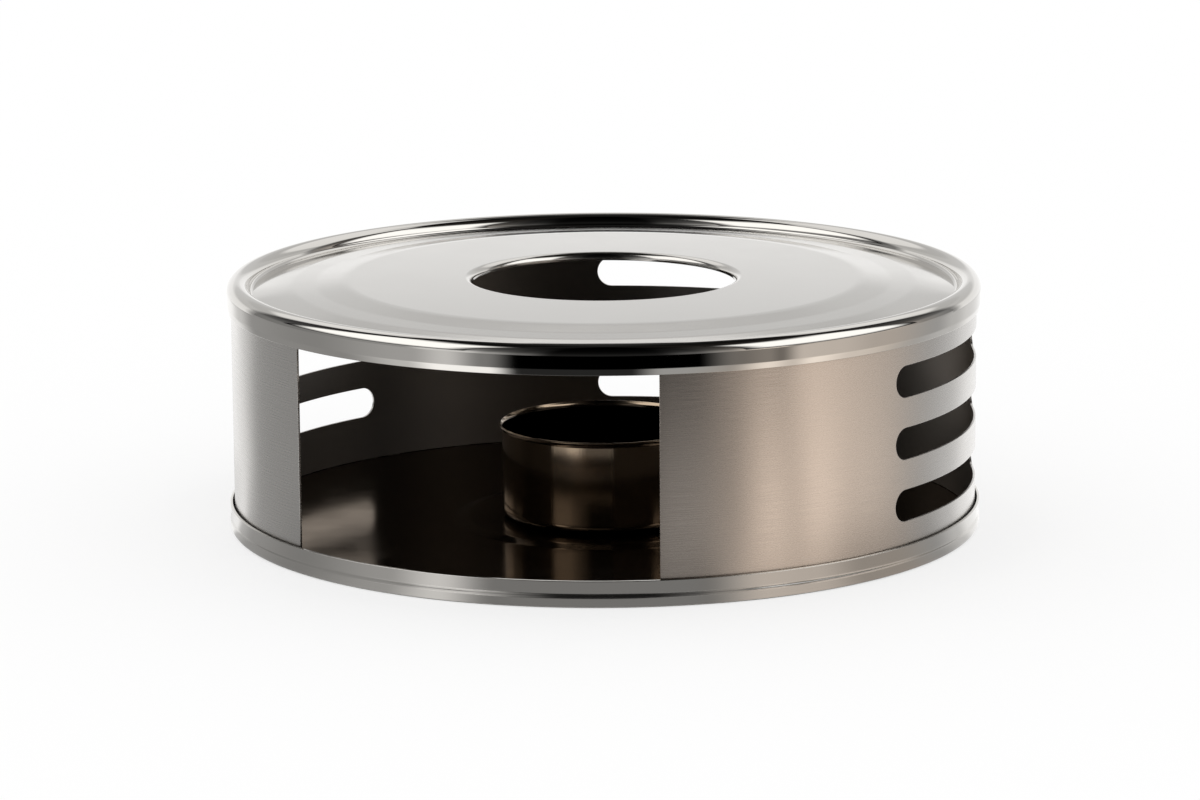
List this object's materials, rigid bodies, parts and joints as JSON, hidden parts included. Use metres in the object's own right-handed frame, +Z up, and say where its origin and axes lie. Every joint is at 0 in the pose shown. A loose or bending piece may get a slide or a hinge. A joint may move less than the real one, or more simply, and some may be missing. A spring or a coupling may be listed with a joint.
{
  "type": "teapot warmer",
  "caption": "Low round teapot warmer in stainless sheet: beaded top plate with a flame hole, slotted side wall open at the front, shallow base pan and an open tealight cup.",
  "frame": {"origin": "on the table under the middle of the base pan", "axes": "+Z up, the front opening centred on -Y, +X to the right seen from the front"},
  "size_m": [0.15, 0.15, 0.05],
  "materials": {
    "pan_steel": "satin stainless steel",
    "wall_steel": "stainless steel brushed round the wall",
    "plate_steel": "satin stainless steel with a polished bead and skirt",
    "cup_steel": "bright drawn steel, dark from what it reflects"
  },
  "bodies": {
    "root": {"base_pan": "pan_steel", "side_wall": "wall_steel", "top_plate": "plate_steel", "tealight_cup": "cup_steel"}
  },
  "joints": []
}
